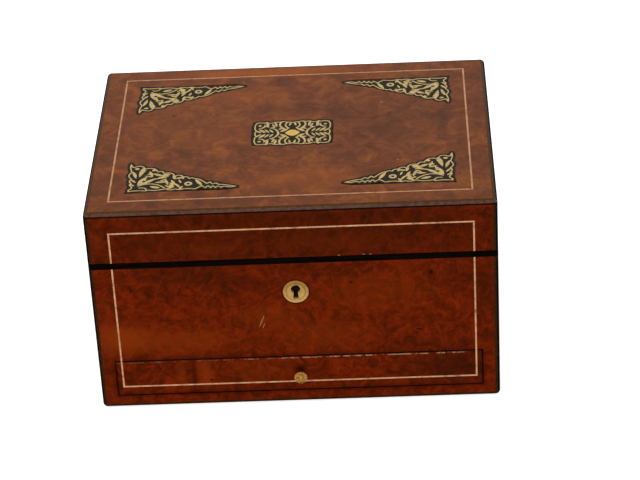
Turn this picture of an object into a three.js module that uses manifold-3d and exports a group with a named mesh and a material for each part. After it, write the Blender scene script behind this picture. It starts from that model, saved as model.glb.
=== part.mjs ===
// A veneered wooden toiletry box with a hinged lid, a long drawer below and cut brass inlay on the top.
// Millimetres. X runs to the right along the front, Y to the back, Z up.
// The origin is on the underside, at its middle.
import * as THREE from 'three';
import { RoundedBoxGeometry } from 'three/addons/geometries/RoundedBoxGeometry.js';
import { mergeVertices } from 'three/addons/utils/BufferGeometryUtils.js';
import Module from 'manifold-3d';

const wasm = await Module();
wasm.setup();

// Whole box
const WIDTH = 300;
const DEPTH = 224;
const HEIGHT = 170;
const BOARD = 10; // thickness of the walls
const EDGE = 3.5; // square section of the dark edging, its outer arris rounded over
const EDGE_SEGMENTS = 2;

// Levels
const RIM_TOP = 127.5;
const RIM_HEIGHT = 4.75;
const LID_BOTTOM = 128;
const LID_CEILING = 161;
const DRAWER_FLOOR = 11;
const DRAWER_CEILING = 42;
const SHELF_TOP = 47;

// Drawer
const DRAWER_HOLE_X = 137.5;
const DRAWER_GAP = 0.375; // slack round the drawer
const DRAWER_SIDE = 6;
const DRAWER_PANEL = 3;
const DRAWER_SIDE_TOP = 37;
const DRAWER_END_Y = 98;

// Stringing
const STRING_X = 132.5;
const STRING_Y = 94.5;
const STRING_LID_Z = 153;
const STRING_DRAWER_Z = 19;
const STRING_WIDTH = 1.25;
const STRING_DEPTH = 1;

// Lock, keyhole plate and knob, which sit a little right of the middle line
const FITTING_X = 1;
const PLATE_Z = 98.25;
const PLATE_RADIUS = 9.5;
const PLATE_THICK = 1.75;
const PLATE_PROUD = 0.25;
const PLATE_SLACK = 0.25;
const KEY_HEAD_Z = 100.75;
const KEY_HEAD_RADIUS = 3.5;
const KEY_FOOT_Z = 92.5;
const KEY_SLOT_TOP = 3.25;
const KEY_SLOT_FOOT = 4.25;
const KEY_CLEARANCE = 0.5;
const LOCK_WIDTH = 40;
const LOCK_LOW = 82.75;
const LOCK_HIGH = 112.75;
const LOCK_FACE_Y = -106;
const LOCK_PIN_RADIUS = 1;
const LOCK_PIN_LENGTH = 2;
const KNOB_Z = 25;
const KNOB_RADIUS = 5;
const KNOB_LENGTH = 6.625;
const KNOB_HEAD_FOOT = 3.5;
const KNOB_HEAD_THICK = 2.25;
const KNOB_PETALS = 9;
const PETAL_DEPTH = 0.75;
const PETAL_BEVEL = 0.5;

// Hinges
const HINGE_X = 85;
const HINGE_HALF = 18;
const HINGE_LEAF = 1.25;
const HINGE_LEAF_Y = 104; // front edge of the leaves
const HINGE_LEAF_END = 111.25;
const HINGE_AXIS_Y = 113.5;
const HINGE_AXIS_Z = 127.75;
const HINGE_RADIUS = 2;
const HINGE_PIN = 0.75;
const HINGE_BORE = 1;
const HINGE_KNUCKLE = 5.75; // half length of the lid's middle knuckle
const HINGE_KNUCKLE_GAP = 0.25;
const HINGE_SIDES = 10;

// Inlay: a dark ground in a pocket, with the cut brass lying on it, flush with the top
const BRASS_THICK = 0.375;
const GROUND_THICK = 0.875;
const GROUND_BORDER = 2; // dark margin outside the brass
const GROUND_SWELL = 0.7;
const GROUND_FINENESS = 1.5; // waves flatter than this are drawn straight
const POCKET_GAP = 0.25;
const BRASS_LINE = 1; // width of the wavy brass line that follows the outline
const CORNER_X = 122; // where the square corner of each corner plate lies
const CORNER_Y = 83.5;
const BRASS_FINENESS = 0.65; // the same for the brass
const BROAD_LEAF = 4.5; // leaves wider than this have rounded shoulders, the others are slim kites
const BRIDGE = 0.4; // fine bridge that holds an eye or a ring to the rest
const OVAL_X = 6.25;
const OVAL_Y = 5.25;

const halfX = WIDTH / 2;
const halfY = DEPTH / 2;
const veneerX = halfX - EDGE;
const veneerY = halfY - EDGE;
const insideX = halfX - BOARD;
const insideY = halfY - BOARD;
const rimFoot = RIM_TOP - RIM_HEIGHT;
const lidShoulder = HEIGHT - EDGE;
const drawerX = DRAWER_HOLE_X - DRAWER_GAP;
const drawerLow = DRAWER_FLOOR + DRAWER_GAP;
const drawerHigh = DRAWER_CEILING - DRAWER_GAP;
const brassFoot = HEIGHT - BRASS_THICK;
const groundFoot = brassFoot - GROUND_THICK;

// Finishes
const finish = (color, roughness, metalness = 0) => ({ color, roughness, metalness });
const VENEER = finish(0x6b2408, 0.35);
const DARK_WOOD = finish(0x1c0f0b, 0.4);
const EBONY = finish(0x0b0807, 0.35);
const PLAIN_WOOD = finish(0x7a4a2c, 0.6);
const BOXWOOD = finish(0xc89a70, 0.5);
const BRASS = finish(0xc8a866, 0.35, 1);
const GOLD_BRASS = finish(0xe6b450, 0.25, 1);
const STEEL = finish(0x6e6a66, 0.4, 1);

// Turns a closed geometry into a solid that can be joined and cut
function solid(geometry) {
  const bare = new THREE.BufferGeometry();
  bare.setAttribute('position', geometry.getAttribute('position'));
  if (geometry.index) bare.setIndex(geometry.index);
  const welded = mergeVertices(bare);
  return new wasm.Manifold(new wasm.Mesh({
    numProp: 3,
    vertProperties: new Float32Array(welded.getAttribute('position').array),
    triVerts: new Uint32Array(welded.index.array),
  }));
}

// A block between two opposite corners
function block([x0, y0, z0], [x1, y1, z1]) {
  const geometry = new THREE.BoxGeometry(x1 - x0, y1 - y0, z1 - z0);
  return solid(geometry.translate((x0 + x1) / 2, (y0 + y1) / 2, (z0 + z1) / 2));
}

function extrusion(points, depth) {
  const shape = new THREE.Shape(points.map(([a, b]) => new THREE.Vector2(a, b)));
  return new THREE.ExtrudeGeometry(shape, { depth, bevelEnabled: false });
}

// A plan outline raised from z0 to z1
const prism = (points, z0, z1) => solid(extrusion(points, z1 - z0).translate(0, 0, z0));

// An outline in X and Z drawn through from y0 to y1
function prismY(points, y0, y1) {
  return solid(extrusion(points, y1 - y0).rotateX(Math.PI / 2).translate(0, y1, 0));
}

// A round bar along X
function barX(x0, x1, radius) {
  const geometry = new THREE.CylinderGeometry(radius, radius, x1 - x0, HINGE_SIDES);
  geometry.rotateZ(Math.PI / 2).translate((x0 + x1) / 2, HINGE_AXIS_Y, HINGE_AXIS_Z);
  return solid(geometry);
}

const flip = (points, sx, sy) => points.map(([x, y]) => [x * sx, y * sy]);

// Makes the named mesh of a finished solid
function piece(name, body, look) {
  const { vertProperties, triVerts } = body.getMesh();
  const geometry = new THREE.BufferGeometry();
  geometry.setAttribute('position', new THREE.BufferAttribute(vertProperties, 3));
  geometry.setIndex(new THREE.BufferAttribute(triVerts, 1));
  geometry.computeVertexNormals();
  const mesh = new THREE.Mesh(geometry, new THREE.MeshStandardMaterial(look));
  mesh.name = name;
  return mesh;
}

const radians = (degrees) => degrees * Math.PI / 180;
const box = new THREE.Group();
const boxCase = new THREE.Group();
const lid = new THREE.Group();
const drawer = new THREE.Group();
box.add(boxCase, lid, drawer);

// The outer form of the whole box, which rounds every strip of edging
const envelope = solid(
  new RoundedBoxGeometry(WIDTH, DEPTH, HEIGHT, EDGE_SEGMENTS, EDGE).translate(0, 0, HEIGHT / 2),
);

// Plans of the pieces that run round the box: each is drawn once for a long side and once for a short one.
// A wall is mitred behind the corner strip, rim and edging are mitred right through.
const longWall = [
  [-veneerX, -halfY], [veneerX, -halfY], [veneerX, -veneerY],
  [insideX, -insideY], [-insideX, -insideY], [-veneerX, -veneerY],
];
const shortWall = [
  [halfX, -veneerY], [halfX, veneerY], [veneerX, veneerY],
  [insideX, insideY], [insideX, -insideY], [veneerX, -veneerY],
];
const longStrip = (x, y) => [[-halfX, -halfY], [halfX, -halfY], [x, -y], [-x, -y]];
const shortStrip = (x, y) => [[halfX, -halfY], [halfX, halfY], [x, y], [x, -y]];
const cornerStrip = [[veneerX, -halfY], [halfX, -halfY], [halfX, -veneerY], [veneerX, -veneerY]];
const CORNERS = { front_left: [-1, 1], front_right: [1, 1], back_left: [-1, -1], back_right: [1, -1] };

// The four sides of a run, by name, from its long and its short plan
function fourSides(long, short, z0, z1) {
  return {
    front: prism(long, z0, z1),
    back: prism(flip(long, 1, -1), z0, z1),
    left: prism(flip(short, -1, 1), z0, z1),
    right: prism(short, z0, z1),
  };
}

function addSides(group, prefix, sides, look) {
  for (const [side, body] of Object.entries(sides)) group.add(piece(`${prefix}_${side}`, body, look));
}

function addEdging(group, prefix, z0, z1) {
  const sides = fourSides(longStrip(veneerX, veneerY), shortStrip(veneerX, veneerY), z0, z1);
  for (const side of Object.keys(sides)) sides[side] = sides[side].intersect(envelope);
  addSides(group, prefix, sides, DARK_WOOD);
}

function addCornerStrips(group, prefix, z0, z1) {
  for (const [corner, [sx, sy]] of Object.entries(CORNERS)) {
    const strip = prism(flip(cornerStrip, sx, sy), z0, z1).intersect(envelope);
    group.add(piece(`${prefix}_${corner}`, strip, DARK_WOOD));
  }
}

// A stretch of stringing in the front face, given by the ends of its centre line
function frontString([x0, z0], [x1, z1]) {
  const low = [Math.min(x0, x1), -halfY, Math.min(z0, z1)];
  const high = [Math.max(x0, x1), STRING_DEPTH - halfY, Math.max(z0, z1)];
  const across = x0 === x1 ? 0 : 2;
  low[across] -= STRING_WIDTH / 2;
  high[across] += STRING_WIDTH / 2;
  return block(low, high);
}

// Stringing that runs along one level and turns up or down to another at both ends
function frontStringFrame(level, end) {
  const reach = STRING_X + STRING_WIDTH / 2;
  const outward = Math.sign(level - end) * STRING_WIDTH / 2;
  const along = frontString([-reach, level], [reach, level]);
  return [-STRING_X, STRING_X].reduce(
    (body, x) => body.add(frontString([x, level + outward], [x, end])),
    along,
  );
}

// Outline of a round plate, hub or bore in X and Z
function circle(x, z, radius, sides = 20) {
  return Array.from({ length: sides }, (_, i) => {
    const angle = 2 * Math.PI * i / sides;
    return [x + radius * Math.cos(angle), z + radius * Math.sin(angle)];
  });
}

// Keyhole: a round head over a slot that widens to its foot, all grown by a margin
function keyhole(margin) {
  const neck = Math.asin(KEY_SLOT_TOP / 2 / KEY_HEAD_RADIUS);
  const turn = 2 * (Math.PI - neck);
  const radius = KEY_HEAD_RADIUS + margin;
  const steps = 10;
  const head = Array.from({ length: steps + 1 }, (_, i) => {
    const angle = neck - Math.PI / 2 + turn * i / steps;
    return [FITTING_X + radius * Math.cos(angle), KEY_HEAD_Z + radius * Math.sin(angle)];
  });
  const half = KEY_SLOT_FOOT / 2 + margin;
  const foot = KEY_FOOT_Z - margin;
  return [...head, [FITTING_X - half, foot], [FITTING_X + half, foot]];
}

// A hinge leaf let into the back board: knuckles lists the stretches of barrel that belong to it
function hinge(x, z0, knuckles) {
  const z1 = z0 + HINGE_LEAF;
  let body = block([x - HINGE_HALF, HINGE_LEAF_Y, z0], [x + HINGE_HALF, HINGE_LEAF_END, z1]);
  for (const [a, b] of knuckles) {
    body = body.add(block([x + a, HINGE_LEAF_END, z0], [x + b, HINGE_AXIS_Y, z1]));
    body = body.add(barX(x + a, x + b, HINGE_RADIUS));
  }
  return body;
}

// The space that a pair of leaves needs in the boards above and below the seam
function hingeMortise(x) {
  const low = RIM_TOP - HINGE_LEAF;
  const high = LID_BOTTOM + HINGE_LEAF;
  return block([x - HINGE_HALF, HINGE_LEAF_Y, low], [x + HINGE_HALF, halfY, high]);
}

const hinges = { left: -HINGE_X, right: HINGE_X };
const mortises = Object.values(hinges).map(hingeMortise);
const cutMortises = (body) => mortises.reduce((rest, mortise) => rest.subtract(mortise), body);

// Case

const caseStrings = {
  left: frontString([-STRING_X, DRAWER_CEILING], [-STRING_X, rimFoot]),
  right: frontString([STRING_X, DRAWER_CEILING], [STRING_X, rimFoot]),
};
const lockSpace = block(
  [FITTING_X - LOCK_WIDTH / 2, LOCK_FACE_Y, LOCK_LOW],
  [FITTING_X + LOCK_WIDTH / 2, -insideY, LOCK_HIGH],
);
const lockPin = prismY(
  circle(FITTING_X, KEY_HEAD_Z, LOCK_PIN_RADIUS, 10),
  LOCK_FACE_Y - LOCK_PIN_LENGTH,
  LOCK_FACE_Y,
);
const plateFoot = PLATE_THICK - PLATE_PROUD - halfY;
const plate = prismY(circle(FITTING_X, PLATE_Z, PLATE_RADIUS), -halfY - PLATE_PROUD, plateFoot);
const plateRecess = prismY(circle(FITTING_X, PLATE_Z, PLATE_RADIUS + PLATE_SLACK), -halfY, plateFoot);

const caseWalls = fourSides(longWall, shortWall, EDGE, rimFoot);
caseWalls.front = caseWalls.front
  .subtract(block([-DRAWER_HOLE_X, -halfY, DRAWER_FLOOR], [DRAWER_HOLE_X, -insideY, DRAWER_CEILING]))
  .subtract(plateRecess)
  .subtract(prismY(keyhole(KEY_CLEARANCE), -halfY, LOCK_FACE_Y))
  .subtract(lockSpace)
  .subtract(caseStrings.left)
  .subtract(caseStrings.right);
addSides(boxCase, 'case', caseWalls, VENEER);

const caseBottom = block([-veneerX, -veneerY, 0], [veneerX, veneerY, EDGE])
  .add(block([-insideX, -insideY, EDGE], [insideX, insideY, DRAWER_FLOOR]));
boxCase.add(piece('case_bottom', caseBottom, PLAIN_WOOD));
const shelf = block([-insideX, -insideY, DRAWER_CEILING], [insideX, insideY, SHELF_TOP]);
boxCase.add(piece('drawer_shelf', shelf, PLAIN_WOOD));

const rim = fourSides(longStrip(insideX, insideY), shortStrip(insideX, insideY), rimFoot, RIM_TOP);
for (const side of Object.keys(rim)) rim[side] = rim[side].intersect(envelope);
rim.back = cutMortises(rim.back);
addSides(boxCase, 'rim', rim, EBONY);
addCornerStrips(boxCase, 'case_corner', EDGE, rimFoot);
addEdging(boxCase, 'base_edge', 0, EDGE);

for (const [side, body] of Object.entries(caseStrings)) {
  boxCase.add(piece(`string_case_${side}`, body, BOXWOOD));
}
const keyway = prismY(keyhole(0), -halfY - BOARD, -insideY);
boxCase.add(piece('escutcheon', plate.subtract(keyway), BRASS));
boxCase.add(piece('lock', lockSpace.add(lockPin), STEEL));

const outerKnuckle = HINGE_KNUCKLE + HINGE_KNUCKLE_GAP;
for (const [side, x] of Object.entries(hinges)) {
  const knuckles = [[-HINGE_HALF, -outerKnuckle], [outerKnuckle, HINGE_HALF]];
  const pin = barX(x - HINGE_HALF, x + HINGE_HALF, HINGE_PIN);
  const leaf = hinge(x, RIM_TOP - HINGE_LEAF, knuckles).add(pin);
  boxCase.add(piece(`case_hinge_${side}`, leaf, BRASS));
}

// Drawer

const drawerString = frontStringFrame(STRING_DRAWER_Z, drawerHigh);
const drawerFront = block([-drawerX, -halfY, drawerLow], [drawerX, -insideY, drawerHigh]);
drawer.add(piece('drawer_front', drawerFront.subtract(drawerString), VENEER));
drawer.add(piece('string_drawer', drawerString, BOXWOOD));

const drawerInX = drawerX - DRAWER_SIDE;
const drawerInY = DRAWER_END_Y - DRAWER_SIDE;
const drawerBoards = {
  left: [[-drawerX, -insideY, drawerLow], [-drawerInX, DRAWER_END_Y, DRAWER_SIDE_TOP]],
  right: [[drawerInX, -insideY, drawerLow], [drawerX, DRAWER_END_Y, DRAWER_SIDE_TOP]],
  back: [[-drawerInX, drawerInY, drawerLow], [drawerInX, DRAWER_END_Y, DRAWER_SIDE_TOP]],
  bottom: [[-drawerInX, -insideY, drawerLow], [drawerInX, drawerInY, drawerLow + DRAWER_PANEL]],
};
for (const [name, [low, high]] of Object.entries(drawerBoards)) {
  drawer.add(piece(`drawer_${name}`, block(low, high), PLAIN_WOOD));
}

// The knob: a turned shank and collar, a head with a petalled edge and a small boss.
// Each is made standing up and then turned to point out of the drawer front.
function knob() {
  const turned = (profile, sides) => {
    const outline = profile.map(([radius, height]) => new THREE.Vector2(radius, height));
    return new THREE.LatheGeometry(outline, sides).rotateX(Math.PI);
  };
  const petal = (i) => KNOB_RADIUS - PETAL_DEPTH / 2 - PETAL_BEVEL + PETAL_DEPTH / 2 * (-1) ** i;
  const sides = 2 * KNOB_PETALS;
  const edge = Array.from({ length: sides }, (_, i) => {
    const angle = 2 * Math.PI * i / sides;
    return new THREE.Vector2(petal(i) * Math.cos(angle), petal(i) * Math.sin(angle));
  });
  const head = new THREE.ExtrudeGeometry(new THREE.Shape(edge), {
    depth: KNOB_HEAD_THICK - 2 * PETAL_BEVEL,
    bevelThickness: PETAL_BEVEL,
    bevelSize: PETAL_BEVEL,
    bevelSegments: 1,
  });
  const underHead = KNOB_HEAD_FOOT + 0.25;
  const shank = turned([[0, 0], [2.5, 0], [2, 1.25], [2.5, 3], [4.25, underHead], [0, underHead]], 8);
  const boss = turned([[0, 5], [1.75, 5], [1.5, 6], [0.75, 6.5], [0, KNOB_LENGTH]], 6);
  const parts = [shank, head.rotateX(Math.PI / 2).translate(0, -KNOB_HEAD_FOOT - PETAL_BEVEL, 0), boss];
  return parts
    .map((geometry) => solid(geometry.translate(FITTING_X, -halfY, KNOB_Z)))
    .reduce((body, part) => body.add(part));
}
drawer.add(piece('drawer_knob', knob(), BRASS));

// Lid

const lidString = frontStringFrame(STRING_LID_Z, LID_BOTTOM);
const lidWalls = fourSides(longWall, shortWall, LID_BOTTOM, lidShoulder);
lidWalls.front = lidWalls.front.subtract(lidString);
lidWalls.back = cutMortises(lidWalls.back);
addSides(lid, 'lid', lidWalls, VENEER);
addEdging(lid, 'lid_edge', lidShoulder, HEIGHT);
addCornerStrips(lid, 'lid_corner', LID_BOTTOM, lidShoulder);
lid.add(piece('string_lid_front', lidString, BOXWOOD));

for (const [side, x] of Object.entries(hinges)) {
  const bore = barX(x - HINGE_HALF, x + HINGE_HALF, HINGE_BORE);
  const leaf = hinge(x, LID_BOTTOM, [[-HINGE_KNUCKLE, HINGE_KNUCKLE]]).subtract(bore);
  lid.add(piece(`lid_hinge_${side}`, leaf, BRASS));
}

// The stringing frame in the top: a rectangle ring round the inlay
function topFrame() {
  const ring = (grow, z0, z1) => {
    const x = STRING_X + grow;
    const y = STRING_Y + grow;
    return block([-x, -y, z0], [x, y, z1]);
  };
  const foot = HEIGHT - STRING_DEPTH;
  return ring(STRING_WIDTH / 2, foot, HEIGHT).subtract(ring(-STRING_WIDTH / 2, foot - 1, HEIGHT + 1));
}
const topString = topFrame();
lid.add(piece('string_lid_top', topString, BOXWOOD));

// Inlay outlines: each point is [u, v, bulge], and the arc to the next point swells outward by its bulge
function scalloped(points, swell = 1, fineness = BRASS_FINENESS) {
  const outline = [];
  points.forEach(([u0, v0, bulge], i) => {
    const [u1, v1] = points[(i + 1) % points.length];
    const chord = Math.hypot(u1 - u0, v1 - v0);
    const [nu, nv] = [(v1 - v0) / chord, (u0 - u1) / chord];
    const steps = 1 + (bulge > fineness) + (bulge > 2.5 * fineness);
    for (let k = 0; k < steps; k += 1) {
      const t = k / steps;
      const out = 4 * t * (1 - t) * bulge * swell;
      outline.push([u0 + (u1 - u0) * t + nu * out, v0 + (v1 - v0) * t + nv * out]);
    }
  });
  return outline;
}

// The same points moved outward, or inward by a negative distance, with sharp tips kept short
function pushed(points, distance) {
  const normal = ([u0, v0], [u1, v1]) => {
    const chord = Math.hypot(u1 - u0, v1 - v0);
    return [(v1 - v0) / chord, (u0 - u1) / chord];
  };
  return points.map((point, i) => {
    const before = normal(points.at(i - 1), point);
    const after = normal(point, points[(i + 1) % points.length]);
    const sum = [before[0] + after[0], before[1] + after[1]];
    const length = Math.max(sum[0] ** 2 + sum[1] ** 2, 1);
    const reach = 2 * distance / length;
    return [point[0] + sum[0] * reach, point[1] + sum[1] * reach, point[2]];
  });
}

// Motifs of the cut brass, as plan outlines of what is sawn away.
// A leaf grows from its root along an angle, pointed at both ends.
function leaf(u, v, angle, length, width, bend = 0) {
  const stations = width > BROAD_LEAF ? [0.3, 0.68] : [0.45];
  const side = (sign) => stations.map((t) => {
    const half = sign * width / 2 * Math.sin(Math.PI * t ** 0.9);
    return [length * t, half + bend * length * t * t];
  });
  const outline = [[0, 0], ...side(-1), [length, bend * length], ...side(1).reverse()];
  const [c, s] = [Math.cos(radians(angle)), Math.sin(radians(angle))];
  return outline.map(([a, b]) => [u + a * c - b * s, v + a * s + b * c]);
}

// A vein bends from one end towards a middle point and on to the other, from one width to another
function vein(from, middle, to, width0, width1) {
  const curve = new THREE.QuadraticBezierCurve(
    new THREE.Vector2(...from), new THREE.Vector2(...middle), new THREE.Vector2(...to),
  );
  const steps = 2;
  const side = (sign) => Array.from({ length: steps + 1 }, (_, i) => {
    const t = i / steps;
    const at = curve.getPoint(t);
    const along = curve.getTangent(t);
    const half = sign * (width0 + (width1 - width0) * t) / 2;
    return [at.x - along.y * half, at.y + along.x * half];
  });
  return [...side(-1), ...side(1).reverse()];
}

// A crescent round a centre, thickest half way along
function crescent(u, v, radius, start, end, width) {
  const steps = 3;
  const side = (sign) => Array.from({ length: steps + 1 }, (_, i) => {
    const t = i / steps;
    const angle = radians(start + (end - start) * t);
    const r = radius + sign * width / 2 * (0.25 + 0.75 * Math.sin(Math.PI * t));
    return [u + r * Math.cos(angle), v + r * Math.sin(angle)];
  });
  return [...side(1), ...side(-1).reverse()];
}

const disc = (u, v, ru, rv = ru, sides = 5) => flip(circle(0, 0, 1, sides), ru, rv)
  .map(([a, b]) => [u + a, v + b]);

// A flower or a spiky surround: tips and hollows take turns
function star(u, v, tip, hollow, points) {
  return Array.from({ length: 2 * points }, (_, i) => {
    const angle = Math.PI * i / points;
    const [ru, rv] = i % 2 ? hollow : tip;
    return [u + ru * Math.cos(angle), v + rv * Math.sin(angle)];
  });
}

// A fine bar along u that holds a loose eye or ring to the rest
const bridge = (u0, u1, v) => [
  [u0, v - BRIDGE / 2], [u1, v - BRIDGE / 2], [u1, v + BRIDGE / 2], [u0, v + BRIDGE / 2],
];

// An eye is a dark ring round a brass dot
function eye(u, v, ru, rv, dot) {
  return { cut: disc(u, v, ru, rv, 7), keep: [disc(u, v, dot, dot * 0.8), bridge(u, u + 2 * ru, v)] };
}

// Corner plate: u runs along its long leg and v along its short leg, from its square corner
const cornerOutline = [
  [3, 2, 0], [16.5, 3.2, 1.4], [28.8, 3.4, 1.3], [37, 3, 0.5], [47, 3, 0.5], [56, 2.8, 0.6],
  [63, 2.9, 0.6], [70, 3, 0.5], [77, 3.1, 0.2], [82.5, 3.6, 0.3],
  [75, 8, 0.6], [69, 10.4, 0.7], [63.5, 12.2, 1.4], [54.8, 15.4, 2.6], [44.5, 20, 1.9],
  [37.4, 24.2, 2.2], [29.3, 28, 1.8], [24, 31, 2.4], [14.6, 35.6, 2.8], [5.4, 39.6, 0],
  [3, 44.4, 1.4], [4.2, 31.2, 2], [4, 20.5, 1.3], [4, 14.4, 1.4], [4.2, 9, 0.5],
];

function cornerCuts() {
  const flower = [47, 10.8];
  const cuts = [
    // The hub in the square corner, the stem to the eye and the vein along the big leaf
    leaf(3.6, 6, 0, 12.4, 5), vein([8.8, 6], [8.4, 20], [8.4, 34], 2, 2),
    vein([9.2, 7.6], [17, 15.4], [27, 15.6], 1, 1.6), leaf(9, 8, 57, 11, 3),
    // Along the short leg
    leaf(5, 19.6, 86, 12, 4), disc(5.4, 17.2, 1.9),
    // Blots between the big leaves
    leaf(10, 26, -6, 8, 4), leaf(16.4, 17.4, 94, 9, 3.2), leaf(17, 20, -4, 9, 3), disc(14.9, 31.7, 1.9),
    leaf(19.4, 32.8, -45, 14, 4, 0.04), leaf(18, 30.4, -72, 10, 3.2),
    // First fleur, at the end of the vein
    leaf(25.4, 14.6, 57, 9.6, 3.6), leaf(25.4, 16.4, -60, 9.4, 3.2),
    // Second fleur and the scrolls beside it
    leaf(32.4, 13.8, 62, 8.4, 3.2), leaf(35, 14, 139, 8, 3), leaf(32.8, 17.4, -92, 9.6, 3.2),
    leaf(31.6, 15.4, -2, 9, 2.6), disc(33.6, 23.8, 2), disc(38.7, 21.8, 1.8),
    leaf(39, 17.4, 24, 5.6, 2.4), leaf(36.6, 14.6, -66, 11.4, 3.2, 0.08), disc(33.6, 5.6, 1.9),
    // Spine of the feather that runs out to the tip
    vein([53, 8.6], [66, 6.8], [81, 5], 1.6, 0.8),
  ];
  const FEATHER_BARBS = 4;
  for (let i = 0; i < FEATHER_BARBS; i += 1) {
    const u = 54.4 + 5.4 * i;
    const v = 8.4 - 0.7 * i;
    cuts.push(leaf(u, v, 60, 9 - 1.3 * i, 3.2), leaf(u, v, -58, 6.8 - 0.6 * i, 3));
  }
  const lens = { cut: leaf(15.4, 9, -13, 14.6, 6.6), keep: [leaf(18.2, 8.3, -13, 13, 3.2)] };
  const ring = [disc(...flower, 2.9, 2.9, 7), bridge(flower[0], flower[0] + 8, flower[1])];
  const rosette = { cut: star(...flower, [6.9, 6.9], [5, 5], 8), keep: ring };
  return [...cuts, eye(7.8, 35.7, 4.2, 3.2, 1.8), lens, rosette, disc(...flower, 1.4)];
}

// Middle plate: one quarter of its outline and cuts, mirrored to the others
const middleQuarter = [
  [28.7, 0, 0.8], [29, 8.4, 0.7], [28.3, 16.2, 0.7], [19.8, 16.9, 0.9], [10.4, 16.6, 0.9],
];

function middleOutline() {
  const bulges = middleQuarter.map((point) => point[2]);
  const right = middleQuarter.map(([x, y]) => [x, y]);
  const top = [[0, 15.9], ...right.slice(1).reverse().map(([x, y]) => [-x, y])];
  const half = [...right, ...top];
  const swells = [...bulges, ...bulges.slice().reverse()];
  const whole = [...half, ...half.map(([x, y]) => [-x, -y])];
  return whole.map(([x, y], i) => [x, y, swells[i % swells.length]]);
}

function middleCuts() {
  const cuts = [star(0, 0, [9, 8], [7, 6], 10)];
  for (const sx of [1, -1]) {
    cuts.push(flip(leaf(28.4, 0, 180, 14, 3.2), sx, 1), flip(leaf(11.6, 0, 180, 5, 2.6), sx, 1));
    cuts.push(flip(crescent(21.8, 0, 8.8, 124, 236, 2.3), sx, 1));
    cuts.push(flip(leaf(0, 15.6, -90, 11, 3.6), 1, sx));
    for (const sy of [1, -1]) {
      const quarter = [
        leaf(14.8, 1.2, 40, 8, 2.8), leaf(25.8, 2.2, 80, 8, 2.8), leaf(17.2, 7.4, 26, 6.8, 3.2),
        leaf(21, 9.6, 76, 7, 2.6), leaf(15.4, 9.4, 84, 7.4, 3.2), leaf(10.4, 16.8, -92, 11.4, 3.8, 0.03),
        crescent(0, 17, 6.4, 278, 346, 2.3), leaf(8.2, 16.4, -122, 9, 2.6),
      ];
      cuts.push(...quarter.map((outline) => flip(outline, sx, sy)));
      const { cut, keep } = eye(25, 12.6, 2.8, 2.8, 1.6);
      cuts.push({ cut: flip(cut, sx, sy), keep: keep.map((outline) => flip(outline, sx, sy)) });
    }
  }
  return cuts;
}

// Keeps the largest connected piece: a sliver that is sawn loose falls out
function sawn(body) {
  return body.decompose().reduce((best, part) => (part.volume() > best.volume() ? part : best));
}

// Cut brass: the sheet with the motifs sawn out of it, all but a wavy line along its outline
function tracery(points, cuts, place) {
  const through = (outline) => prism(place(outline), brassFoot - 1, HEIGHT + 1);
  const within = through(scalloped(pushed(points, -BRASS_LINE)));
  const openings = cuts.map((item) => {
    const { cut, keep } = Array.isArray(item) ? { cut: item, keep: [] } : item;
    return keep.reduce((rest, outline) => rest.subtract(through(outline)), through(cut));
  });
  const sheet = prism(place(scalloped(points)), brassFoot, HEIGHT);
  return sawn(openings.reduce((body, opening) => body.subtract(opening.intersect(within)), sheet));
}

// The dark ground follows the brass at a distance, with flatter waves
function groundOutline(points, grow) {
  return scalloped(pushed(points, GROUND_BORDER + grow), GROUND_SWELL, GROUND_FINENESS);
}

let lidTop = block([-veneerX, -veneerY, lidShoulder], [veneerX, veneerY, HEIGHT])
  .add(block([-insideX, -insideY, LID_CEILING], [insideX, insideY, lidShoulder]))
  .subtract(topString);

function addInlay(name, points, cuts, place) {
  lidTop = lidTop.subtract(prism(place(groundOutline(points, POCKET_GAP)), groundFoot, HEIGHT));
  const ground = prism(place(groundOutline(points, 0)), groundFoot, brassFoot);
  lid.add(piece(`inlay_ground_${name}`, ground, EBONY));
  lid.add(piece(`inlay_brass_${name}`, tracery(points, cuts, place), BRASS));
}

for (const [corner, [sx, sy]] of Object.entries(CORNERS)) {
  const place = (outline) => outline.map(([u, v]) => [sx * (CORNER_X - u), sy * (v - CORNER_Y)]);
  addInlay(corner, cornerOutline, cornerCuts(), place);
}
addInlay('middle', middleOutline(), middleCuts(), (outline) => outline);

// The bright oval, pointed to the left and right
function oval() {
  const steps = 8;
  const upper = Array.from({ length: steps }, (_, i) => {
    const t = i / steps;
    return [OVAL_X * (1 - 2 * t), OVAL_Y * Math.sin(Math.PI * t) ** 0.8];
  });
  return [...upper, ...upper.map(([x, y]) => [-x, -y])];
}
lid.add(piece('inlay_oval', prism(oval(), brassFoot, HEIGHT), GOLD_BRASS));
lid.add(piece('lid_top', lidTop, VENEER));

export default box;
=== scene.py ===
# %% [markdown]
# # A veneered toiletry box
# The box is about 300 mm wide: a case with a long drawer, and a hollow lid with cut brass let into its
# top. The boards, hinges and joints come ready made as a fixed frame, in metres. This lesson gives every
# surface its finish, and makes the pieces whose fine shape shows: rounded edging, sawn brass, keyhole
# plate and knob.

# %% Load the frame
import math

import bmesh
import bpy
import numpy as np
from mathutils import Matrix, Vector


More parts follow.
